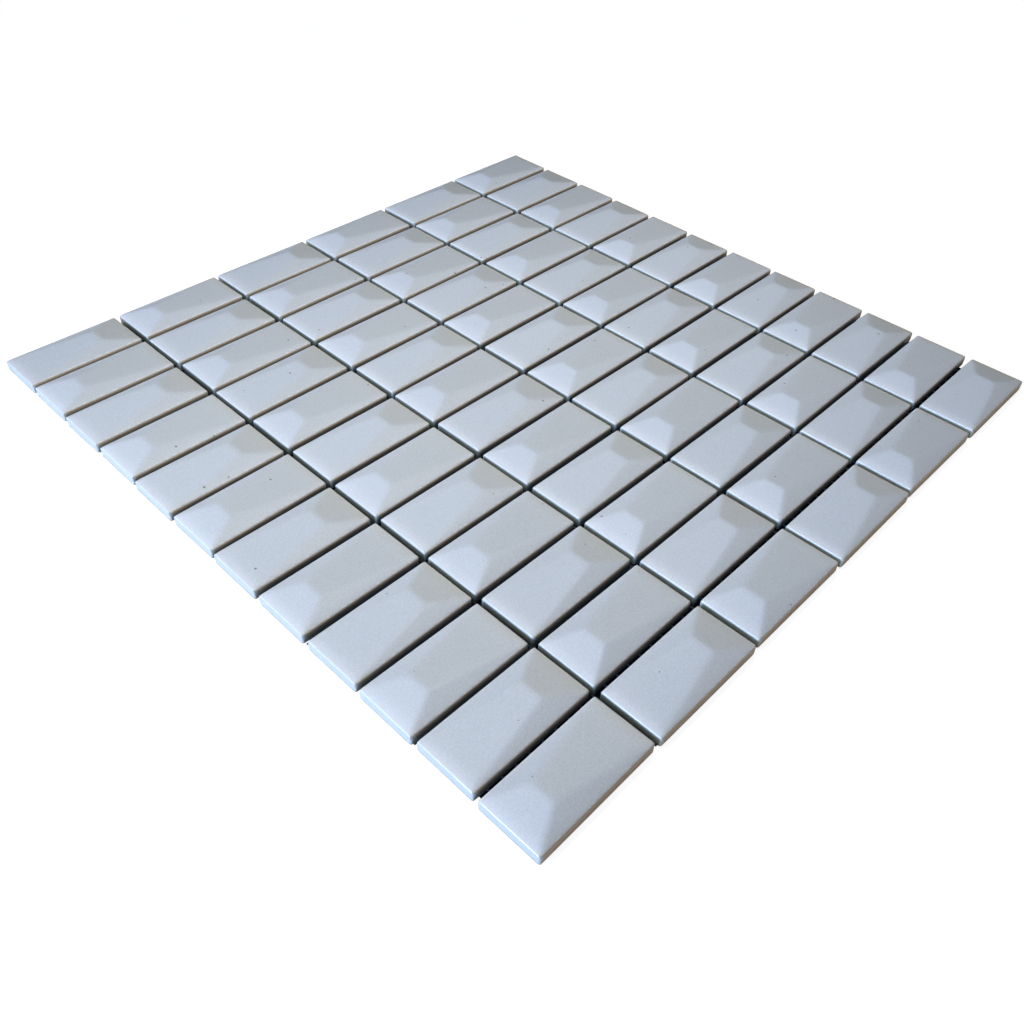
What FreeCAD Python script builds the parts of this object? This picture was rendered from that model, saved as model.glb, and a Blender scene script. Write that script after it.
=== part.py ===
import FreeCAD
import Part
import math
import os
import Sketcher
from FreeCAD import Placement, Rotation, Vector

# Mosaic sheet of hipped ceramic tiles on a glass-fibre net.
#
# Frame: millimetres, +Z up, origin at the middle of the sheet on the surface that it lies on.
# X runs along the tiles and Y across them. The net lies at the bottom and the tiles stand on it.

# Driving dimensions, in millimetres unless the note says otherwise.
SIZES = [
    ("tiles_along", 6, "tiles in a row, a count"),
    ("tiles_across", 12, "rows, a count"),
    ("tile_length", 48.0, "along X"),
    ("tile_width", 23.0, "along Y"),
    ("joint", 2.0, "gap between neighbouring tiles"),
    ("edge_height", 4.2, "height of a tile's upright walls"),
    ("relief", 2.0, "rise of the ridge above the walls"),
    ("ridge_length", 8.5, "of the ridge's blunt top, along Y"),
    ("ridge_width", 0.9, "of the ridge's blunt top, along X"),
    ("ridge_setback", 13.2, "from the tile's steep end to the middle of the ridge"),
    ("corner_radius", 0.5, "of the tile's upright corners"),
    ("arris_radius", 0.5, "of the glazed edge between walls and face"),
    ("border_width", 3.0, "of the face's border, where it rolls down to the walls"),
    ("border_sink", 0.2, "how much of the relief the border's roll takes"),
    ("yarn_width", 1.0, "of the net's flat yarns"),
    ("yarn_flat", 0.6, "width of a yarn's flat top and bottom"),
    ("yarn_thickness", 0.25, "of one layer of yarns"),
    ("mesh_pitch", 5.5, "from yarn to yarn, both ways"),
    ("net_margin", 1.0, "from the outer tile edge in to the yarns' ends"),
    ("laying_slack", 0.2, "largest shift of a hand-laid tile, along X and along Y"),
    ("laying_turn", 0.25, "largest turn of a hand-laid tile, in degrees"),
]

# Whole sizes, as expressions on the driving dimensions.
SHEET_LENGTH = "(Sizes.tiles_along * (Sizes.tile_length + Sizes.joint) - Sizes.joint)"
SHEET_WIDTH = "(Sizes.tiles_across * (Sizes.tile_width + Sizes.joint) - Sizes.joint)"
NET_LENGTH = f"({SHEET_LENGTH} - 2 * Sizes.net_margin)"
NET_WIDTH = f"({SHEET_WIDTH} - 2 * Sizes.net_margin)"

# A hand-laid tile is off by the sine of an angle that grows from row to row and from column to
# column. These are its growths, in radians, for the shift along X, along Y, and the turn.
LAYING_STEPS = [(2.7, 1.9), (1.3, 3.1), (4.1, 2.3)]

# How many flats stand for a quarter round, on the upright corners and on the arris.
CORNER_FLATS = 3
ARRIS_FLATS = 3

# How far a cut reaches past the solid that it is cut from.
CUT_CLEARANCE = 1.0

UP = Vector(0, 0, 1)

doc = FreeCAD.newDocument("mosaic_tile_sheet")


def fill_sheet():
    """Put the driving dimensions in a spreadsheet, each under its own alias."""
    sheet = doc.addObject("Spreadsheet::Sheet", "Sizes")
    for line, (alias, value, note) in enumerate(SIZES, start=1):
        sheet.set(f"A{line}", alias)
        sheet.set(f"B{line}", str(value))
        sheet.set(f"C{line}", note)
        sheet.setAlias(f"B{line}", alias)
    doc.recompute()
    return sheet


def origin_feature(body, role):
    """One of a body's own origin planes or axes."""
    return next(feature for feature in body.Origin.OriginFeatures if feature.Role == role)


def new_sketch(body, name, role):
    """An empty sketch on one of the body's origin planes."""
    sketch = body.newObject("Sketcher::SketchObject", name)
    sketch.AttachmentSupport = [(origin_feature(body, role), "")]
    sketch.MapMode = "FlatFace"
    return sketch


def constrain(sketch, name, expression, *arguments):
    """Add a named distance or radius and bind it to the sizes."""
    value = sketch.evalExpression(expression)
    sketch.addConstraint(Sketcher.Constraint(*arguments, float(value)))
    sketch.renameConstraint(sketch.ConstraintCount - 1, name)
    sketch.setExpression(f"Constraints.{name}", expression)


def draw_polygon(sketch, corners):
    """Draw a closed polygon. Each corner is a pair of expressions, its place in the sketch."""
    places = [[float(sketch.evalExpression(place)) for place in corner] for corner in corners]
    points = [Vector(x, y, 0) for x, y in places]
    sides = [
        sketch.addGeometry(Part.LineSegment(begin, end), False)
        for begin, end in zip(points, points[1:] + points[:1])
    ]
    for side, following in zip(sides, sides[1:] + sides[:1]):
        sketch.addConstraint(Sketcher.Constraint("Coincident", side, 2, following, 1))
    for side, (x, y) in zip(sides, corners):
        constrain(sketch, f"x{side}", x, "DistanceX", -1, 1, side, 1)
        constrain(sketch, f"y{side}", y, "DistanceY", -1, 1, side, 1)


def quarter_round(flats):
    """A quarter round of radius 1 in flats: how far each corner lies in from its two tangents."""
    angles = [step * math.pi / 2 / flats for step in range(flats + 1)]
    return [(round(1 - math.cos(angle), 4), round(1 - math.sin(angle), 4)) for angle in angles]


def tile_footprint():
    """The corners of a tile's outline, each upright corner a quarter round in flats."""
    corners = []
    for side_x, side_y in ((1, 1), (-1, 1), (-1, -1), (1, -1)):
        quarter = [
            (
                f"{side_x} * (Sizes.tile_length / 2 - {inset_x} * Sizes.corner_radius)",
                f"{side_y} * (Sizes.tile_width / 2 - {inset_y} * Sizes.corner_radius)",
            )
            for inset_x, inset_y in quarter_round(CORNER_FLATS)
        ]
        corners += quarter if side_x == side_y else quarter[::-1]
    return corners


def slope_waste(wall, ridge_edge, side):
    """What is cut away beside the face, seen along a wall: arris, rolled border, then a slope.

    wall is half the tile's size, ridge_edge the place of the ridge's edge, and side is 1 or -1.
    """
    outside = f"{side} * ({wall} + {CUT_CLEARANCE})"
    above = f"Sizes.edge_height + Sizes.relief + {CUT_CLEARANCE}"
    arris = [
        (
            f"{side} * ({wall} - {inset} * Sizes.arris_radius)",
            f"Sizes.edge_height - {drop} * Sizes.arris_radius",
        )
        for inset, drop in quarter_round(ARRIS_FLATS)
    ]
    slope_run = f"({wall} - Sizes.arris_radius - {side} * ({ridge_edge}))"
    border_share = f"((Sizes.border_width - Sizes.arris_radius) / {slope_run})"
    border_rise = f"(Sizes.border_sink + (Sizes.relief - Sizes.border_sink) * {border_share})"
    return [
        (outside, "Sizes.edge_height - Sizes.arris_radius"),
        *arris,
        (f"{side} * ({wall} - Sizes.border_width)", f"Sizes.edge_height + {border_rise}"),
        (ridge_edge, "Sizes.edge_height + Sizes.relief"),
        (ridge_edge, above),
        (outside, above),
    ]


def cut_slopes(body, name, plane, wall, ridge_edges):
    """Cut the two slopes of the face that are seen on edge from one side of the tile."""
    sketch = new_sketch(body, f"{name}_profile", plane)
    for side, ridge_edge in zip((-1, 1), ridge_edges):
        draw_polygon(sketch, slope_waste(wall, ridge_edge, side))
    cut = body.newObject("PartDesign::Pocket", name)
    cut.Profile = sketch
    cut.Type = "ThroughAll"
    cut.SideType = "Symmetric"
    doc.recompute()
    return cut


def make_tile():
    """One tile: upright walls, a rounded arris, and a low hipped face with an off-centre ridge.

    The face's slopes roll down a little more in a border all round. The tile's origin is
    the middle of its back, and its steep end is at -X.
    """
    body = doc.addObject("PartDesign::Body", "tile")
    footprint = new_sketch(body, "footprint", "XY_Plane")
    draw_polygon(footprint, tile_footprint())
    blank = body.newObject("PartDesign::Pad", "blank")
    blank.Profile = footprint
    blank.setExpression("Length", "Sizes.edge_height + Sizes.relief")
    doc.recompute()

    ridge = "Sizes.ridge_setback - Sizes.tile_length / 2"
    ridge_sides = [f"{ridge} - Sizes.ridge_width / 2", f"{ridge} + Sizes.ridge_width / 2"]
    ridge_ends = ["-Sizes.ridge_length / 2", "Sizes.ridge_length / 2"]
    ends = cut_slopes(body, "end_slopes", "XZ_Plane", "Sizes.tile_length / 2", ridge_sides)
    flanks = cut_slopes(body, "flank_slopes", "YZ_Plane", "Sizes.tile_width / 2", ridge_ends)
    if not blank.Shape.Volume > ends.Shape.Volume > flanks.Shape.Volume:
        raise RuntimeError("a slope of the tile's face cut nothing")
    body.Tip = flanks
    return body


def lay_tile(tile, row, column):
    """Place one tile on the net, turned end for end on every second place, a little off true."""
    laid = doc.addObject("App::Link", f"tile_{row + 1:02d}_{column + 1}")
    laid.LinkedObject = tile
    drift_x, drift_y, twist = (
        math.sin(row_step * row + column_step * column) for row_step, column_step in LAYING_STEPS
    )
    half_turn = 0 if (row + column) % 2 else 180
    along = f"({column} - (Sizes.tiles_along - 1) / 2) * (Sizes.tile_length + Sizes.joint)"
    across = f"({row} - (Sizes.tiles_across - 1) / 2) * (Sizes.tile_width + Sizes.joint)"
    laid.Placement = Placement(Vector(0, 0, 0), Rotation(UP, 1))
    laid.setExpression("Placement.Base.x", f"{along} + Sizes.laying_slack * {drift_x:.3f}")
    laid.setExpression("Placement.Base.y", f"-({across}) + Sizes.laying_slack * {drift_y:.3f}")
    laid.setExpression("Placement.Base.z", "2 * Sizes.yarn_thickness")
    laid.setExpression("Placement.Rotation.Angle", f"{half_turn} + Sizes.laying_turn * {twist:.3f}")
    return laid


def make_row(tile, sheet, row):
    """One row of tiles along X; row 0 is at the back, +Y."""
    laid = [lay_tile(tile, row, column) for column in range(int(sheet.tiles_along))]
    node = doc.addObject("Part::Compound", f"tile_row_{row + 1:02d}")
    node.Links = laid
    return node


def yarn_section():
    """The corners of a flat yarn's section: six sides, its lower flat at height 0."""
    return [
        ("-Sizes.yarn_flat / 2", "0"),
        ("Sizes.yarn_flat / 2", "0"),
        ("Sizes.yarn_width / 2", "Sizes.yarn_thickness / 2"),
        ("Sizes.yarn_flat / 2", "Sizes.yarn_thickness"),
        ("-Sizes.yarn_flat / 2", "Sizes.yarn_thickness"),
        ("-Sizes.yarn_width / 2", "Sizes.yarn_thickness / 2"),
    ]


def make_yarns(label, section_plane, step_axis, length, spread, layer):
    """One layer of the net: parallel yarns, mesh_pitch apart, with one under the middle.

    length and spread are expressions: how long a yarn is, and how wide the layer may be.
    """
    body = doc.addObject("PartDesign::Body", label)
    section = new_sketch(body, f"{label}_section", section_plane)
    draw_polygon(section, yarn_section())
    yarn = body.newObject("PartDesign::Pad", f"{label}_yarn")
    yarn.Profile = section
    yarn.SideType = "Symmetric"
    yarn.setExpression("Length", length)
    doc.recompute()

    half_count = f"floor(({spread} - Sizes.yarn_width) / 2 / Sizes.mesh_pitch)"
    layer_of_yarns = body.newObject("PartDesign::LinearPattern", f"{label}_layer")
    layer_of_yarns.Originals = [yarn]
    layer_of_yarns.Direction = (origin_feature(body, step_axis), [""])
    layer_of_yarns.Mode = "Spacing"
    layer_of_yarns.setExpression("Offset", "Sizes.mesh_pitch")
    layer_of_yarns.setExpression("Occurrences", f"2 * {half_count} + 1")
    body.Tip = layer_of_yarns
    body.setExpression(f"Placement.Base.{step_axis[0].lower()}", f"-{half_count} * Sizes.mesh_pitch")
    body.setExpression("Placement.Base.z", f"{layer} * Sizes.yarn_thickness")
    return body


def check(objects):
    """Stop if anything in the document failed, or if a sub-part's shape is empty or broken."""
    for item in doc.Objects:
        if "Invalid" in item.State or "Error" in item.State:
            raise RuntimeError(f"{item.Name} failed: {item.State}")
    for item in objects:
        if item.Shape.isNull() or not item.Shape.isValid():
            raise RuntimeError(f"{item.Label} has no valid shape")


sheet = fill_sheet()
tile = make_tile()
nodes = [make_row(tile, sheet, row) for row in range(int(sheet.tiles_across))]
nodes.append(make_yarns("net_lengthwise_yarns", "YZ_Plane", "Y_Axis", NET_LENGTH, NET_WIDTH, 0))
nodes.append(make_yarns("net_crosswise_yarns", "XZ_Plane", "X_Axis", NET_WIDTH, NET_LENGTH, 1))
doc.recompute()
check(nodes)

os.makedirs("parts", exist_ok=True)
for node in nodes:
    node.Shape.exportStep(f"parts/{node.Label}.step")
    box = node.Shape.BoundBox
    print(
        f"{node.Label}: {len(node.Shape.Solids)} solids, {node.Shape.Volume:.1f} mm3, "
        f"X {box.XMin:.2f} to {box.XMax:.2f}, Y {box.YMin:.2f} to {box.YMax:.2f}, "
        f"Z {box.ZMin:.2f} to {box.ZMax:.2f}"
    )
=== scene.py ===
import math
from typing import NamedTuple

import bmesh
import bpy
from bpy.props import FloatProperty, FloatVectorProperty, IntProperty, PointerProperty
from bpy.types import Operator, Panel, PropertyGroup
from mathutils import Matrix, Vector


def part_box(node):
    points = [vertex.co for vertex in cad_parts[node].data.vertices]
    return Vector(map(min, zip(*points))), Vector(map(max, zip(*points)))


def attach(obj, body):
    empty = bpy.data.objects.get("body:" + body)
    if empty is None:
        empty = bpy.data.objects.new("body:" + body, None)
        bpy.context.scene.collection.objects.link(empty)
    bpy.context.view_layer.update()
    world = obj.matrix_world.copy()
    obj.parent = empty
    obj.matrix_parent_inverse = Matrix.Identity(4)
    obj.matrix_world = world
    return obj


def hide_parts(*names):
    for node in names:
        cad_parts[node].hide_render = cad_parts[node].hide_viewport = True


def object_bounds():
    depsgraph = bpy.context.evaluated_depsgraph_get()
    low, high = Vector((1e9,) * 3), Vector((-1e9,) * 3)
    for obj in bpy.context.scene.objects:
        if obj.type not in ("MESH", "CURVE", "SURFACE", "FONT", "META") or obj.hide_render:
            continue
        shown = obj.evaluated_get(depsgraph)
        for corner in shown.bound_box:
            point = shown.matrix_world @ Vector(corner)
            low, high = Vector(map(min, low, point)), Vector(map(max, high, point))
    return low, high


bl_info = {
    "name": "Mosaic tile sheet",
    "version": (1, 0, 0),
    "blender": (4, 5, 0),
    "location": "3D View > Sidebar > Mosaic",
    "description": "Dresses a sheet of hipped mosaic tiles on a glass-fibre net",
    "category": "Object",
}

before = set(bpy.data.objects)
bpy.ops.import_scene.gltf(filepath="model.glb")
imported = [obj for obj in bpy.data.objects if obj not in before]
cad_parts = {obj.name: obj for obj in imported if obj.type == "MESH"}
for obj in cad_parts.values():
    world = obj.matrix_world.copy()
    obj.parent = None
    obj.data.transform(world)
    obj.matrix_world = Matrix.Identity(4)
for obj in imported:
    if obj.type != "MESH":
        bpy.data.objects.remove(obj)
cad_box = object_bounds()

MM = 0.001
TILE_NODES = sorted(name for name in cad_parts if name.startswith("tile_row_"))
LENGTHWISE_NODE = "net_lengthwise_yarns"
CROSSWISE_NODE = "net_crosswise_yarns"


# Settings

class TileSettings(PropertyGroup):
    """Shape and finish of the glazed tiles."""

    end_arris: FloatProperty(
        name="End arris", description="Radius of the edge at a tile's ends",
        default=0.5 * MM, unit="LENGTH", precision=5,
    )
    side_arris: FloatProperty(
        name="Side arris", description="Radius of the edge along a tile's long sides",
        default=0.9 * MM, unit="LENGTH", precision=5,
    )
    corner: FloatProperty(
        name="Corner", description="Radius of the upright corners",
        default=0.8 * MM, unit="LENGTH", precision=5,
    )
    roll_depth: FloatProperty(
        name="Roll depth", description="How much of the face's rise lies in the roll near its edges",
        default=0.2 * MM, unit="LENGTH", precision=5,
    )
    roll_reach: FloatProperty(
        name="Roll reach", description="How far in from the edge the roll ends",
        default=4.0 * MM, unit="LENGTH", precision=5,
    )
    softness: FloatProperty(
        name="Softness", description="Height over which the glaze blends two facets",
        default=0.05 * MM, unit="LENGTH", precision=5,
    )
    grid_step: FloatProperty(
        name="Grid step", description="Spacing of the mesh lines on the face",
        default=1.0 * MM, unit="LENGTH", precision=5,
    )
    foot: FloatProperty(
        name="Foot", description="Height of the chamfer round the unglazed back",
        default=0.3 * MM, unit="LENGTH", precision=5,
    )
    back_rim: FloatProperty(
        name="Back rim", description="Width of the flat rim of the back",
        default=2.0 * MM, unit="LENGTH", precision=5,
    )
    groove_depth: FloatProperty(
        name="Groove depth", description="Depth of the pressed grooves of the back",
        default=0.35 * MM, unit="LENGTH", precision=5,
    )
    groove_count: IntProperty(
        name="Grooves", description="Pressed grooves along the back", default=4, min=1,
    )
    glaze: FloatVectorProperty(
        name="Glaze", description="Colour of the satin glaze",
        subtype="COLOR", size=3, default=(0.61, 0.67, 0.755), min=0, max=1,
    )
    # Painted shade: the walls carry a deeper colour than the face, standing in for the lesser light on the
    # tiles' sides and outer arris.
    painted_wall_shade: FloatVectorProperty(
        name="Wall glaze", description="Colour of the glaze that has pooled on the walls",
        subtype="COLOR", size=3, default=(0.47, 0.54, 0.55), min=0, max=1,
    )
    body: FloatVectorProperty(
        name="Body", description="Colour of the unglazed fired body",
        subtype="COLOR", size=3, default=(0.62, 0.51, 0.39), min=0, max=1,
    )
    glaze_drop: FloatProperty(
        name="Glaze drop", description="How far the glaze runs down the long sides",
        default=0.4 * MM, unit="LENGTH", precision=5,
    )
    glaze_waver: FloatProperty(
        name="Glaze waver", description="How much the glaze's lower edge wavers",
        default=0.5 * MM, unit="LENGTH", precision=5,
    )
    # Paler glaze near the ends and long sides, partly a painted sheen.
    end_paling_and_sheen: FloatProperty(
        name="End paling", description="How much paler the glaze is at a tile's ends", subtype="FACTOR",
        default=0.3, min=0, max=1,
    )
    side_paling_and_sheen: FloatProperty(
        name="Side paling", description="How much paler the glaze is at a tile's long sides",
        subtype="FACTOR", default=0.08, min=0, max=1,
    )
    # Painted glint: a broken pale line on the arris stands in for the light caught by the rounded edge.
    painted_arris_glint: FloatProperty(
        name="Edge paling", description="How much paler the glaze is where it breaks on the arris",
        subtype="FACTOR", default=0.5, min=0, max=1,
    )
    paling_reach: FloatProperty(
        name="Paling reach", description="How far from a tile's end the paling has faded to a third",
        default=3.0 * MM, unit="LENGTH", precision=5,
    )
    # Painted shade: a deep colour on the inner walls stands in for the shade that falls deep in the joints
    # between the tiles.
    painted_joint_shade: FloatVectorProperty(
        name="Glue", description="Colour of the glue that has crept up between the tiles",
        subtype="COLOR", size=3, default=(0.12, 0.155, 0.18), min=0, max=1,
    )
    joint_shade_top: FloatProperty(
        name="Glue top", description="Height above the floor at which the last trace of glue ends",
        default=3.5 * MM, unit="LENGTH", precision=5,
    )
    joint_shade_cling: FloatProperty(
        name="Glue cling", description="How much higher the glue reaches on bare clay",
        default=0.8 * MM, unit="LENGTH", precision=5,
    )
    joint_shade_fade: FloatProperty(
        name="Glue fade", description="Height over which the glue thins out",
        default=2.2 * MM, unit="LENGTH", precision=5,
    )
    speck: FloatVectorProperty(
        name="Specks", description="Colour of the pinholes and iron specks in the glaze",
        subtype="COLOR", size=3, default=(0.09, 0.09, 0.10), min=0, max=1,
    )
    roughness: FloatProperty(
        name="Roughness", description="Roughness of the glaze", subtype="FACTOR",
        default=0.38, min=0, max=1,
    )


class NetSettings(PropertyGroup):
    """Shape and finish of the net's yarns."""

    swing: FloatProperty(
        name="Swing", description="How far a yarn rises and dips where it crosses others",
        default=0.1 * MM, unit="LENGTH", precision=5,
    )
    steps: IntProperty(
        name="Steps", description="Mesh steps from one crossing to the next", default=4, min=2,
    )
    sides: IntProperty(
        name="Sides", description="Sides of a yarn's section", default=6, min=4,
    )
    # Painted shade: the yarn's colour is kept deep to stand for the shade the net lies in.
    colour: FloatVectorProperty(
        name="Yarn", description="Colour of the coated glass fibre",
        subtype="COLOR", size=3, default=(0.06, 0.085, 0.11), min=0, max=1,
    )


class StageSettings(PropertyGroup):
    """Camera, lamps and floor."""

    eye: FloatVectorProperty(
        name="Eye", description="Where the camera stands",
        subtype="TRANSLATION", size=3, default=(-0.24026, -0.21648, 0.23595),
    )
    aim: FloatVectorProperty(
        name="Aim", description="What the camera looks at",
        subtype="TRANSLATION", size=3, default=(-0.0633, -0.0552, 0.0046),
    )
    roll: FloatProperty(
        name="Roll", description="How far the camera leans to one side",
        subtype="ANGLE", default=math.radians(2.72),
    )
    lens: FloatProperty(
        name="Lens", description="Focal length on a 36 mm sensor, in millimetres", default=33.41,
    )
    window_power: FloatProperty(
        name="Window", description="Power of the low cool lamp at the tiles' left ends", unit="POWER",
        default=252.0,
    )
    tube_power: FloatProperty(
        name="Tube", description="Power of the warm tube lamp over the sheet", unit="POWER", default=1.36,
    )
    room_power: FloatProperty(
        name="Room", description="Power of the small low warm lamp at the near side", unit="POWER", default=1.8,
    )
    sky_strength: FloatProperty(
        name="Sky", description="Brightness of the warm light from all round", default=0.005,
    )
    floor: FloatVectorProperty(
        name="Floor", description="Colour of the floor", subtype="COLOR", size=3,
        default=(0.3, 0.3, 0.3), min=0, max=1,
    )
    bounce: FloatVectorProperty(
        name="Bounce", description="Colour of the light that the floor throws on the tiles",
        subtype="COLOR", size=3, default=(0.86, 0.82, 0.76), min=0, max=1,
    )


# Node trees

class Wire:
    """A node's output or a plain value that can be added, multiplied and so on."""

    def __init__(self, graph, source):
        self.graph = graph
        self.source = source

    def maths(self, operation, *others, swap=False):
        values = [self, *others]
        if swap:
            values.reverse()
        return self.graph.node("ShaderNodeMath", {"operation": operation}, *values)

    def __add__(self, other):
        return self.maths("ADD", other)

    __radd__ = __add__

    def __mul__(self, other):
        return self.maths("MULTIPLY", other)

    __rmul__ = __mul__

    def __sub__(self, other):
        return self.maths("SUBTRACT", other)

    def __rsub__(self, other):
        return self.maths("SUBTRACT", other, swap=True)

    def __truediv__(self, other):
        return self.maths("DIVIDE", other)

    def __lt__(self, other):
        return self.maths("LESS_THAN", other)

    def output(self, key):
        """Another output of the same node."""
        return Wire(self.graph, self.source.node.outputs[key])

    def __gt__(self, other):
        return self.maths("GREATER_THAN", other)


class Graph:
    """A material's or world's node tree, filled by one method."""

    def __init__(self, tree):
        self.tree = tree
        tree.nodes.clear()

    def node(self, kind, settings=None, *values, output=0, **named):
        """Add a node; its settings come first, then the values or wires of its sockets."""
        made = self.tree.nodes.new(kind)
        for name, value in (settings or {}).items():
            setattr(made, name, value)
        sockets = [*enumerate(values), *((name.replace("_", " "), value) for name, value in named.items())]
        for key, value in sockets:
            socket = made.inputs[key]
            if isinstance(value, Wire):
                self.tree.links.new(value.source, socket)
            else:
                socket.default_value = value
        return Wire(self, made.outputs[output]) if made.outputs else made

    def ramp(self, wire, stops, interpolation="LINEAR"):
        """A colour ramp with the given (place, brightness) stops."""
        made = self.tree.nodes.new("ShaderNodeValToRGB")
        made.color_ramp.interpolation = interpolation
        elements = made.color_ramp.elements
        while len(elements) < len(stops):
            elements.new(1.0)
        for element, (place, brightness) in zip(elements, stops):
            element.position = place
            element.color = (brightness, brightness, brightness, 1)
        self.tree.links.new(wire.source, made.inputs[0])
        return Wire(self, made.outputs[0])

    def noise(self, where, scale, detail=2.0, roughness=0.5):
        """Noise from 0 to 1, with about scale bumps to a metre."""
        return self.node(
            "ShaderNodeTexNoise", {"noise_dimensions": "3D"},
            Vector=where, Scale=scale, Detail=detail, Roughness=roughness,
        )

    def blend(self, share, first, second):
        """first where share is 0, second where it is 1; both are colours."""
        mixed = self.tree.nodes.new("ShaderNodeMix")
        mixed.data_type = "RGBA"
        for socket, value in zip((mixed.inputs[0], mixed.inputs[6], mixed.inputs[7]), (share, first, second)):
            if isinstance(value, Wire):
                self.tree.links.new(value.source, socket)
            else:
                socket.default_value = value
        return Wire(self, mixed.outputs[2])


def rgba(colour, gain=1.0):
    """A colour with full alpha, made brighter or darker."""
    return tuple(channel * gain for channel in colour) + (1.0,)


def new_graph(name):
    """A new material and its empty node tree."""
    material = bpy.data.materials.new(name)
    material.use_nodes = True
    return material, Graph(material.node_tree)


def glazed_tile_material(settings):
    """Satin glaze over the face and walls, bare fired clay at the foot and back."""
    material, graph = new_graph("satin_glaze")
    where = graph.node("ShaderNodeTexCoord", output=3)
    shade = graph.node("ShaderNodeAttribute", {"attribute_name": "tile_shade"}, output=2)
    paling_sheen_and_wall_shade = graph.node("ShaderNodeAttribute", {"attribute_name": "tile_paling_sheen_and_wall_shade"}, output=2)
    edge = graph.node("ShaderNodeAttribute", {"attribute_name": "tile_arris_glint"}, output=2)
    below = graph.node("ShaderNodeAttribute", {"attribute_name": "tile_below_glaze"}, output=2)

    cloud = graph.noise(where, 160.0, detail=3.0)
    grain = graph.noise(where, 1500.0, detail=2.0, roughness=0.7)
    tone = (cloud - 0.5) * 0.10 + (grain - 0.5) * 1.4 + shade
    glaze = graph.blend(tone + 0.5, rgba(settings.glaze, 0.86), rgba(settings.glaze, 1.14))
    # Painted shade on the walls and the outer part of the arris, where the attribute is -1.
    glaze = graph.blend(0 - paling_sheen_and_wall_shade, glaze, rgba(settings.painted_wall_shade))
    # Painted glint on the arris, broken up by noise.
    glint_breaks = graph.ramp(graph.noise(where, 800.0, detail=2.0), [(0.42, 0.25), (0.62, 1.0)])
    # Blends towards white: the paling near the ends and sides, partly a painted sheen, and the painted glint on
    # the arris.
    glaze = graph.blend(paling_sheen_and_wall_shade + edge * glint_breaks * settings.painted_arris_glint, glaze, rgba((1, 1, 1)))

    cells = graph.node("ShaderNodeTexVoronoi", {"feature": "F1"}, Vector=where, Scale=210.0)
    chance = graph.node("ShaderNodeSeparateColor", None, cells.output("Color"))
    speck_size = (chance - 0.6) * 0.24
    speck = cells < speck_size
    glaze = graph.blend(speck * 0.75, glaze, rgba(settings.speck))

    clay_grain = graph.noise(where, 1400.0, detail=4.0, roughness=0.75)
    clay = graph.blend(clay_grain, rgba(settings.body, 0.8), rgba(settings.body, 1.15))
    waver = (graph.noise(where, 420.0) - 0.5) * (settings.glaze_waver / MM)
    bare = waver < below
    colour = graph.blend(bare, glaze, clay)

    # Painted shade in the joints: the inner walls darken towards the foot, reaching higher on bare clay, while
    # the sheet's outer walls stay clear.
    split = graph.node("ShaderNodeSeparateXYZ", None, where)
    high = cad_box[1]
    rim = 0.7 * MM
    off_end_walls = split.maths("ABSOLUTE") < high.x - rim
    off_side_walls = split.output(1).maths("ABSOLUTE") < high.y - rim
    inside = off_end_walls.maths("MAXIMUM", bare) * off_side_walls
    level = split.output(2)
    on_wall = settings.foot + 0.6 * MM < level
    joint_shade_top = bare * settings.joint_shade_cling + settings.joint_shade_top
    joint_shaded = (joint_shade_top - level) / settings.joint_shade_fade * inside * on_wall
    colour = graph.blend(joint_shaded, colour, rgba(settings.painted_joint_shade))

    smear = graph.noise(where, 300.0, detail=2.0)
    roughness = (smear - 0.5) * 0.14 + settings.roughness + bare * 0.35
    peel = graph.noise(where, 420.0, detail=1.0) * 0.7 + grain * 0.25 - speck * 0.5
    bump = graph.node(
        "ShaderNodeBump", None, Strength=0.5, Distance=0.04 * MM, Height=peel + bare * clay_grain * 2.0,
    )
    shader = graph.node(
        "ShaderNodeBsdfPrincipled", None,
        Base_Color=colour, Roughness=roughness, Coat_Weight=0.6, Coat_Roughness=0.12, Normal=bump,
    )
    graph.node("ShaderNodeOutputMaterial", None, shader)
    return material


def yarn_material(settings, name, stretch):
    """Coated glass fibre, its colour darkened as painted shade, with fine filaments along the yarn."""
    material, graph = new_graph(name)
    where = graph.node("ShaderNodeTexCoord", output=3)
    along = graph.node("ShaderNodeMapping", None, Vector=where, Scale=stretch)
    filaments = graph.noise(along, 2400.0, detail=3.0, roughness=0.6)
    coating = graph.noise(where, 260.0, detail=2.0)
    colour = graph.blend(
        filaments * 0.7 + coating * 0.3, rgba(settings.colour, 0.62), rgba(settings.colour, 1.3)
    )
    bump = graph.node("ShaderNodeBump", None, Strength=0.6, Distance=0.05 * MM, Height=filaments)
    shader = graph.node(
        "ShaderNodeBsdfPrincipled", None,
        Base_Color=colour, Roughness=0.45 + coating * 0.2, Normal=bump,
    )
    graph.node("ShaderNodeOutputMaterial", None, shader)
    return material


# Tiles

class TileForm(NamedTuple):
    """Sizes of one tile, read from its solid."""

    half_length: float
    half_width: float
    top: float
    edge: float
    ridge_x: float
    ridge_half_length: float


class TilePlace(NamedTuple):
    """One tile of a row: its place on the net and its form."""

    matrix: Matrix
    form: TileForm


def solids_of(node):
    """The separate solids of a CAD node, each a list of its corners."""
    bm = bmesh.new()
    bm.from_mesh(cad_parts[node].data)
    bmesh.ops.remove_doubles(bm, verts=bm.verts, dist=0.001 * MM)
    left = set(bm.verts)
    solids = []
    while left:
        reached = [left.pop()]
        for vert in reached:
            for edge in vert.link_edges:
                other = edge.other_vert(vert)
                if other in left:
                    left.remove(other)
                    reached.append(other)
        solids.append([vert.co.copy() for vert in reached])
    bm.free()
    return solids


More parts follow.
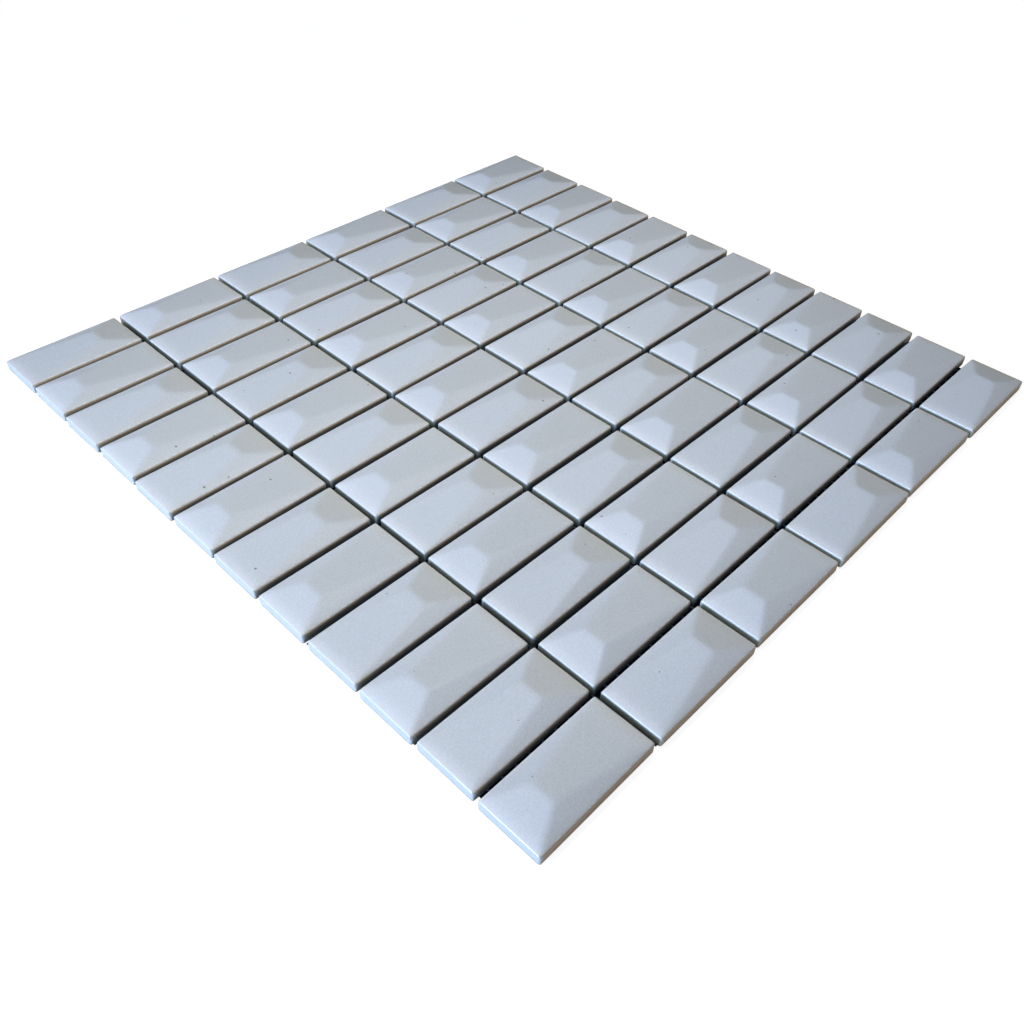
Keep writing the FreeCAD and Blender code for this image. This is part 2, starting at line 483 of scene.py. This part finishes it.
def read_tile(corners):
    """Where a tile's solid lies and how it is shaped, with its steep end at local -X."""
    near = 0.01 * MM
    bottom = min(corner.z for corner in corners)
    top = max(corner.z for corner in corners)
    foot = [corner for corner in corners if corner.z < bottom + near]
    ridge = [corner for corner in corners if corner.z > top - near]
    centre = sum(foot, Vector()) / len(foot)
    offsets = [corner - centre for corner in foot]
    spread_xy = sum(offset.x * offset.y for offset in offsets)
    spread_xx_yy = sum(offset.x**2 - offset.y**2 for offset in offsets)
    turn = 0.5 * math.atan2(2 * spread_xy, spread_xx_yy)
    ridge_centre = sum(ridge, Vector()) / len(ridge) - centre
    if ridge_centre.dot(Vector((math.cos(turn), math.sin(turn), 0))) > 0:
        turn += math.pi
    matrix = Matrix.Translation(centre) @ Matrix.Rotation(turn, 4, "Z")
    local = [matrix.inverted() @ corner for corner in corners]
    half_length = max(corner.x for corner in local)
    local_ridge = [corner for corner in local if corner.z > top - bottom - near]
    form = TileForm(
        half_length=half_length,
        half_width=max(corner.y for corner in local),
        top=top - bottom,
        edge=max(corner.z for corner in local if corner.x > half_length - 1 * MM),
        ridge_x=sum(corner.x for corner in local_ridge) / len(local_ridge),
        ridge_half_length=max(corner.y for corner in local_ridge),
    )
    return TilePlace(matrix, form)


def grid_lines(half, arris, step, arcs=5):
    """Places of the mesh lines from -half to half, close together on the arris."""
    inner = half - arris
    count = round(inner / step)
    lines = [inner * k / count for k in range(1, count)]
    lines += [half - arris * (1 - math.cos(math.radians(90) * k / arcs)) for k in range(arcs + 1)]
    lines.sort()
    return [-x for x in reversed(lines)] + [0.0] + lines


def soft_least(heights, softness):
    """The least of some heights, rounded where two are nearly the same."""
    return -softness * math.log(sum(math.exp(-height / softness) for height in heights))


def arris_drop(inward, radius):
    """How far the face has dropped at a distance from the wall, where its edge is rounded."""
    if inward >= radius:
        return 0.0
    return radius - math.sqrt(radius**2 - (radius - inward) ** 2)


def face_height(x, y, form, settings):
    """Height of the glazed face at a place, before the outline's corners are rounded."""
    from_end = form.half_length - abs(x)
    from_side = form.half_width - abs(y)
    rim = settings.end_arris
    rise = form.top - form.edge - settings.roll_depth
    steep = rise / (form.half_length + form.ridge_x - rim)
    long = rise / (form.half_length - form.ridge_x - rim)
    flank = rise / (form.half_width - form.ridge_half_length - rim)
    slopes = [
        steep * (form.half_length + x - rim),
        long * (form.half_length - x - rim),
        flank * (from_side - rim),
    ]
    height = form.edge + soft_least(slopes, settings.softness)
    inward = min(from_end, from_side)
    share = max(0.0, 1 - max(0.0, inward - rim) / (settings.roll_reach - rim))
    height += settings.roll_depth * (1 - share**2)
    return height - max(
        arris_drop(from_end, settings.end_arris), arris_drop(from_side, settings.side_arris)
    )


def round_corner(x, y, half_x, half_y, radius):
    """Pull a point of a square corner on to rings round the corner's centre."""
    over_x = abs(x) - (half_x - radius)
    over_y = abs(y) - (half_y - radius)
    if over_x <= 0 or over_y <= 0:
        return x, y
    reach = max(over_x, over_y)
    share = reach / math.hypot(over_x, over_y)
    return (
        math.copysign(half_x - radius + over_x * share, x),
        math.copysign(half_y - radius + over_y * share, y),
    )


def model_face(bm, form, settings):
    """The glazed face: a grid bent to the rounded outline and raised to the hipped form."""
    lines_x = grid_lines(form.half_length, settings.end_arris, settings.grid_step)
    lines_y = grid_lines(form.half_width, settings.side_arris, settings.grid_step)
    count_x, count_y = len(lines_x) - 1, len(lines_y) - 1
    grid = bmesh.ops.create_grid(bm, x_segments=count_x, y_segments=count_y, size=1.0)
    for vert in grid["verts"]:
        x = lines_x[round((vert.co.x + 1) / 2 * count_x)]
        y = lines_y[round((vert.co.y + 1) / 2 * count_y)]
        height = face_height(x, y, form, settings)
        x, y = round_corner(x, y, form.half_length, form.half_width, settings.corner)
        vert.co = (x, y, height)


def model_walls(bm, form, settings):
    """Walls from the edge of the face down to a chamfered foot, and the back that closes it."""
    rings = [(settings.foot, 0.0), (0.0, settings.foot)]
    edges = [edge for edge in bm.edges if edge.is_boundary]
    for height, draw_in in rings:
        ring = bmesh.ops.extrude_edge_only(bm, edges=edges)["geom"]
        for vert in (item for item in ring if isinstance(item, bmesh.types.BMVert)):
            vert.co.z = height
            vert.co.x -= math.copysign(draw_in, vert.co.x)
            vert.co.y -= math.copysign(draw_in, vert.co.y)
        edges = [item for item in ring if isinstance(item, bmesh.types.BMEdge) and item.is_boundary]
    return bmesh.ops.contextual_create(bm, geom=edges)["faces"]


def model_back(bm, back, form, settings):
    """Pressed grooves along the back, inside a flat rim."""
    bmesh.ops.inset_region(bm, faces=back, thickness=settings.back_rim, use_even_offset=True)
    inner_half = form.half_width - settings.foot - settings.back_rim
    strip = 2 * inner_half / (2 * settings.groove_count - 1)
    field = list(back)
    for cut in range(1, 2 * settings.groove_count - 1):
        geom = field + list({edge for face in field for edge in face.edges})
        geom += list({vert for face in field for vert in face.verts})
        cuts = bmesh.ops.bisect_plane(
            bm, geom=geom, dist=0.0001 * MM,
            plane_co=(0, -inner_half + cut * strip, 0), plane_no=(0, 1, 0),
        )
        field += [item for item in cuts["geom"] if isinstance(item, bmesh.types.BMFace) and item not in field]
        field = [face for face in field if face.is_valid]
    grooves = []
    for face in field:
        place = (face.calc_center_median().y + inner_half) / strip
        if int(place) % 2 == 0 and 0 < place < 2 * settings.groove_count - 1:
            grooves.append(face)
    for face in grooves:
        walls = bmesh.ops.extrude_discrete_faces(bm, faces=[face])["faces"]
        bmesh.ops.translate(bm, verts=walls[0].verts, vec=(0, 0, settings.groove_depth))


def model_tile(form, settings):
    """One tile's mesh, about the middle of its back."""
    bm = bmesh.new()
    model_face(bm, form, settings)
    back = model_walls(bm, form, settings)
    model_back(bm, back, form, settings)
    bmesh.ops.recalc_face_normals(bm, faces=bm.faces)
    below = bm.verts.layers.float.new("tile_below_glaze")
    paling_sheen_and_wall_shade = bm.verts.layers.float.new("tile_paling_sheen_and_wall_shade")
    edge = bm.verts.layers.float.new("tile_arris_glint")
    for vert in bm.verts:
        from_end = form.half_length - abs(vert.co.x)
        from_side = form.half_width - abs(vert.co.y)
        on_long_side = from_side < settings.side_arris and from_end > settings.corner
        glaze_edge = form.edge - settings.glaze_drop if on_long_side else 2 * settings.foot
        vert[below] = (glaze_edge - vert.co.z) / MM
        # Paling near the ends and sides, partly a painted sheen; -1 marks the walls and outer arris for the
        # painted wall shade.
        at_end = settings.end_paling_and_sheen * math.exp(-from_end / settings.paling_reach)
        at_side = settings.side_paling_and_sheen * math.exp(-from_side / settings.paling_reach)
        on_face = vert.co.z > form.edge - 2 * settings.side_arris
        inward = min(from_end / settings.end_arris, from_side / settings.side_arris) if on_face else 0.0
        vert[paling_sheen_and_wall_shade] = max(at_end, at_side) if inward > 0.3 else -1.0
        # Marks the arris for the painted glint, stronger on the long sides than at the ends.
        vert[edge] = (1.0 if from_side < from_end else 0.4) if 0.3 < inward < 0.95 else 0.0
    for face in bm.faces:
        face.smooth = True
    mesh = bpy.data.meshes.new("one_tile")
    bm.to_mesh(mesh)
    bm.free()
    return mesh


def lay_row(node, tile, places, material):
    """One row of tiles in the places of a CAD node's solids, as one mesh."""
    bm = bmesh.new()
    bm.verts.layers.float.new("tile_shade")
    for place in places:
        before = len(bm.verts)
        bm.from_mesh(tile)
        bm.verts.ensure_lookup_table()
        centre = place.matrix.translation
        tone = 0.06 * math.sin(9.7 * centre.x / (50 * MM) + 5.3 * centre.y / (25 * MM))
        new_verts = bm.verts[before:]
        shade = bm.verts.layers.float["tile_shade"]
        for vert in new_verts:
            vert[shade] = tone
        bmesh.ops.transform(bm, matrix=place.matrix, verts=new_verts)
    mesh = bpy.data.meshes.new(node.replace("tile_row", "glazed_tiles"))
    bm.to_mesh(mesh)
    bm.free()
    mesh.set_sharp_from_angle(angle=math.radians(38))
    mesh.materials.append(material)
    return mesh


def add_piece(mesh, node):
    """Put a finished mesh in the scene in place of a CAD node."""
    piece = bpy.data.objects.new(mesh.name, mesh)
    bpy.context.scene.collection.objects.link(piece)
    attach(piece, "root")
    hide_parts(node)
    return piece


class MOSAIC_OT_lay_tiles(Operator):
    """Model the glazed tiles, row by row"""

    bl_idname = "mosaic.lay_tiles"
    bl_label = "Lay glazed tiles"
    bl_options = {"REGISTER", "UNDO"}

    def execute(self, context):
        settings = context.scene.mosaic_tiles
        material = glazed_tile_material(settings)
        rows = {node: [read_tile(corners) for corners in solids_of(node)] for node in TILE_NODES}
        tile = model_tile(rows[TILE_NODES[0]][0].form, settings)
        for node, places in rows.items():
            add_piece(lay_row(node, tile, places, material), node)
        bpy.data.meshes.remove(tile)
        return {"FINISHED"}


# Net

def yarn_runs(node, axis):
    """How a layer of yarns lies: the other places of its yarns, their half length and pitch."""
    across = 1 - axis
    solids = solids_of(node)
    middles = sorted(
        (min(corner[across] for corner in corners) + max(corner[across] for corner in corners)) / 2
        for corners in solids
    )
    half_length = max(corner[axis] for corner in solids[0])
    half_width = (
        max(corner[across] for corner in solids[0]) - min(corner[across] for corner in solids[0])
    ) / 2
    return middles, half_length, half_width


def model_yarn(half_length, half_width, half_thickness, pitch, settings):
    """One flat yarn along X that weaves over and under the yarns that it crosses."""
    bm = bmesh.new()
    step = pitch / settings.steps
    inner_steps = int(half_length / step)
    places = [-half_length] + [step * k for k in range(-inner_steps, inner_steps + 1)] + [half_length]
    ring = bmesh.ops.create_circle(bm, cap_ends=True, segments=settings.sides, radius=1.0)["verts"]
    section = [Vector((0, vert.co.x * half_width, vert.co.y * half_thickness)) for vert in ring]
    face = ring[0].link_faces[0]
    for number, x in enumerate(places):
        if number:
            face = bmesh.ops.extrude_discrete_faces(bm, faces=[face])["faces"][0]
        rise = settings.swing * math.cos(math.pi * x / pitch)
        for vert, corner in zip(face.verts if number else ring, section):
            vert.co = corner + Vector((x, 0, rise))
    bmesh.ops.recalc_face_normals(bm, faces=bm.faces)
    for face in bm.faces:
        face.smooth = True
    mesh = bpy.data.meshes.new("one_yarn")
    bm.to_mesh(mesh)
    bm.free()
    return mesh


def weave_layer(name, node, axis, settings, material):
    """All yarns that run along one axis, as one piece."""
    middles, half_length, half_width = yarn_runs(node, axis)
    low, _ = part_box(LENGTHWISE_NODE)
    _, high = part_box(CROSSWISE_NODE)
    half_thickness = (high.z - low.z) / 2 - settings.swing
    yarn = model_yarn(half_length, half_width, half_thickness, middles[1] - middles[0], settings)
    bm = bmesh.new()
    for number, place in enumerate(middles):
        before = len(bm.verts)
        bm.from_mesh(yarn)
        bm.verts.ensure_lookup_table()
        half_turn = Matrix.Rotation(math.radians(180) * ((number + axis) % 2), 4, "X")
        turn = Matrix.Rotation(math.radians(90) * axis, 4, "Z")
        shift = (0, place, (low.z + high.z) / 2) if axis == 0 else (place, 0, (low.z + high.z) / 2)
        matrix = Matrix.Translation(shift) @ turn @ half_turn
        bmesh.ops.transform(bm, matrix=matrix, verts=bm.verts[before:])
    mesh = bpy.data.meshes.new(name)
    bm.to_mesh(mesh)
    bm.free()
    bpy.data.meshes.remove(yarn)
    mesh.materials.append(material)
    return add_piece(mesh, node)


class MOSAIC_OT_weave_net(Operator):
    """Weave the glass-fibre net under the tiles"""

    bl_idname = "mosaic.weave_net"
    bl_label = "Weave net"
    bl_options = {"REGISTER", "UNDO"}

    def execute(self, context):
        settings = context.scene.mosaic_net
        lengthwise = yarn_material(settings, "lengthwise_glass_yarn", (0.04, 1.0, 1.0))
        crosswise = yarn_material(settings, "crosswise_glass_yarn", (1.0, 0.04, 1.0))
        weave_layer("woven_lengthwise_yarns", LENGTHWISE_NODE, 0, settings, lengthwise)
        weave_layer("woven_crosswise_yarns", CROSSWISE_NODE, 1, settings, crosswise)
        return {"FINISHED"}


# Stage

def floor_material(settings, half_x, half_y):
    """A pale floor, white further off, with painted shade where the sheet covers it."""
    material, graph = new_graph("pale_floor")
    where = graph.node("ShaderNodeTexCoord", output=3)
    split = graph.node("ShaderNodeSeparateXYZ", None, where)
    along = split.maths("ABSOLUTE")
    across = split.output(1).maths("ABSOLUTE")
    covered = (along < half_x) * (across < half_y)
    distance = graph.node("ShaderNodeVectorMath", {"operation": "LENGTH"}, where, output=1)
    far = graph.ramp(distance, [(0.21, 0.0), (0.6, 1.0)], "EASE")
    rays = graph.node("ShaderNodeLightPath")
    seen = rays.output("Is Camera Ray")

    white = graph.node("ShaderNodeEmission", None, rgba((1, 1, 1)), 1.0)
    lift = graph.node("ShaderNodeEmission", None, rgba((1, 1, 1)), 0.9)
    lit = graph.node("ShaderNodeBsdfDiffuse", None, rgba(settings.floor))
    near = graph.node("ShaderNodeAddShader", None, lit, lift)
    pale = graph.node("ShaderNodeMixShader", None, far, near, white)
    warm = graph.node("ShaderNodeBsdfDiffuse", None, rgba(settings.bounce))
    # Painted shade under the sheet: the floor seen through the joints and the net is near black.
    painted_shade_under_sheet = graph.node("ShaderNodeBsdfDiffuse", None, rgba((0.012, 0.016, 0.026)))
    open_floor = graph.node("ShaderNodeMixShader", None, seen, warm, pale)
    shader = graph.node("ShaderNodeMixShader", None, covered, open_floor, painted_shade_under_sheet)
    graph.node("ShaderNodeOutputMaterial", None, shader)
    return material


def area_lamp(name, place, aim, size, power, colour, glossy=True):
    """A soft rectangular lamp at a place, turned to a point."""
    data = bpy.data.lights.new(name, "AREA")
    data.shape = "RECTANGLE"
    data.size, data.size_y = size
    data.energy = power
    data.color = colour
    lamp = bpy.data.objects.new(name, data)
    lamp.location = place
    lamp.rotation_euler = (Vector(place) - Vector(aim)).to_track_quat("Z", "Y").to_euler()
    lamp.visible_glossy = glossy
    bpy.context.scene.collection.objects.link(lamp)
    return lamp


def light_sky(strength):
    """A weak warm light from all round; the camera sees white."""
    world = bpy.data.worlds.new("studio")
    world.use_nodes = True
    bpy.context.scene.world = world
    graph = Graph(world.node_tree)
    rays = graph.node("ShaderNodeLightPath")
    soft = graph.node("ShaderNodeBackground", None, rgba((1.0, 0.8, 0.6)), strength)
    white = graph.node("ShaderNodeBackground", None, rgba((1, 1, 1)), 1.0)
    shader = graph.node("ShaderNodeMixShader", None, rays, soft, white)
    graph.node("ShaderNodeOutputWorld", None, shader)


def place_camera(settings):
    """The camera at the photograph's place and lean."""
    data = bpy.data.cameras.new("photo_view")
    data.sensor_width = 36.0
    data.lens = settings.lens
    data.clip_start = 0.01
    camera = bpy.data.objects.new("photo_view", data)
    eye, aim = Vector(settings.eye), Vector(settings.aim)
    look = (aim - eye).to_track_quat("-Z", "Y").to_matrix().to_4x4()
    camera.matrix_world = Matrix.Translation(eye) @ look @ Matrix.Rotation(settings.roll, 4, "Z")
    bpy.context.scene.collection.objects.link(camera)
    bpy.context.scene.camera = camera


class MOSAIC_OT_set_stage(Operator):
    """Set up the floor, the lamps and the camera"""

    bl_idname = "mosaic.set_stage"
    bl_label = "Set stage"
    bl_options = {"REGISTER", "UNDO"}

    def execute(self, context):
        settings = context.scene.mosaic_stage
        low, high = cad_box
        mesh = bpy.data.meshes.new("floor")
        bm = bmesh.new()
        bmesh.ops.create_grid(bm, x_segments=1, y_segments=1, size=4.0)
        bmesh.ops.translate(bm, verts=bm.verts, vec=(0, 0, low.z - 0.02 * MM))
        bm.to_mesh(mesh)
        bm.free()
        mesh.materials.append(floor_material(settings, high.x - 3 * MM, high.y - 3 * MM))
        floor = bpy.data.objects.new("floor", mesh)
        context.scene.collection.objects.link(floor)

        area_lamp(
            "window", (-3.87, 0.47, 0.9), (0, 0, 0), (1.9, 1.4), settings.window_power, (0.55, 0.70, 0.995)
        )
        area_lamp(
            "tube", (-0.08, 0.02, 0.355), (-0.08, 0.02, 0), (0.7, 0.1), settings.tube_power,
            (1.0, 0.95, 0.82), glossy=False,
        )
        area_lamp(
            "room", (0.73, -1.27, 0.31), (0, 0, 0), (0.16, 0.16), settings.room_power,
            (1.0, 0.75, 0.5), glossy=False,
        )
        light_sky(settings.sky_strength)
        place_camera(settings)
        context.scene.view_settings.view_transform = "Standard"
        return {"FINISHED"}


class MOSAIC_PT_sheet(Panel):
    """Steps of the mosaic sheet in the sidebar"""

    bl_idname = "MOSAIC_PT_sheet"
    bl_label = "Mosaic tile sheet"
    bl_space_type = "VIEW_3D"
    bl_region_type = "UI"
    bl_category = "Mosaic"

    def draw(self, context):
        layout = self.layout
        steps = (
            ("mosaic_tiles", MOSAIC_OT_lay_tiles),
            ("mosaic_net", MOSAIC_OT_weave_net),
            ("mosaic_stage", MOSAIC_OT_set_stage),
        )
        for group, operator in steps:
            box = layout.box()
            settings = getattr(context.scene, group)
            for name in settings.bl_rna.properties.keys():
                if name not in {"rna_type", "name"}:
                    box.prop(settings, name)
            box.operator(operator.bl_idname)


SETTINGS = {
    "mosaic_tiles": TileSettings,
    "mosaic_net": NetSettings,
    "mosaic_stage": StageSettings,
}
CLASSES = (
    *SETTINGS.values(),
    MOSAIC_OT_lay_tiles,
    MOSAIC_OT_weave_net,
    MOSAIC_OT_set_stage,
    MOSAIC_PT_sheet,
)


def register():
    """Register the classes and hang their settings on the scene."""
    for cls in CLASSES:
        bpy.utils.register_class(cls)
    for name, group in SETTINGS.items():
        setattr(bpy.types.Scene, name, PointerProperty(type=group))


def unregister():
    """Undo register()."""
    for name in SETTINGS:
        delattr(bpy.types.Scene, name)
    for cls in reversed(CLASSES):
        bpy.utils.unregister_class(cls)


def main():
    register()
    bpy.ops.mosaic.lay_tiles()
    bpy.ops.mosaic.weave_net()
    bpy.ops.mosaic.set_stage()


if __name__ == "__main__":
    main()
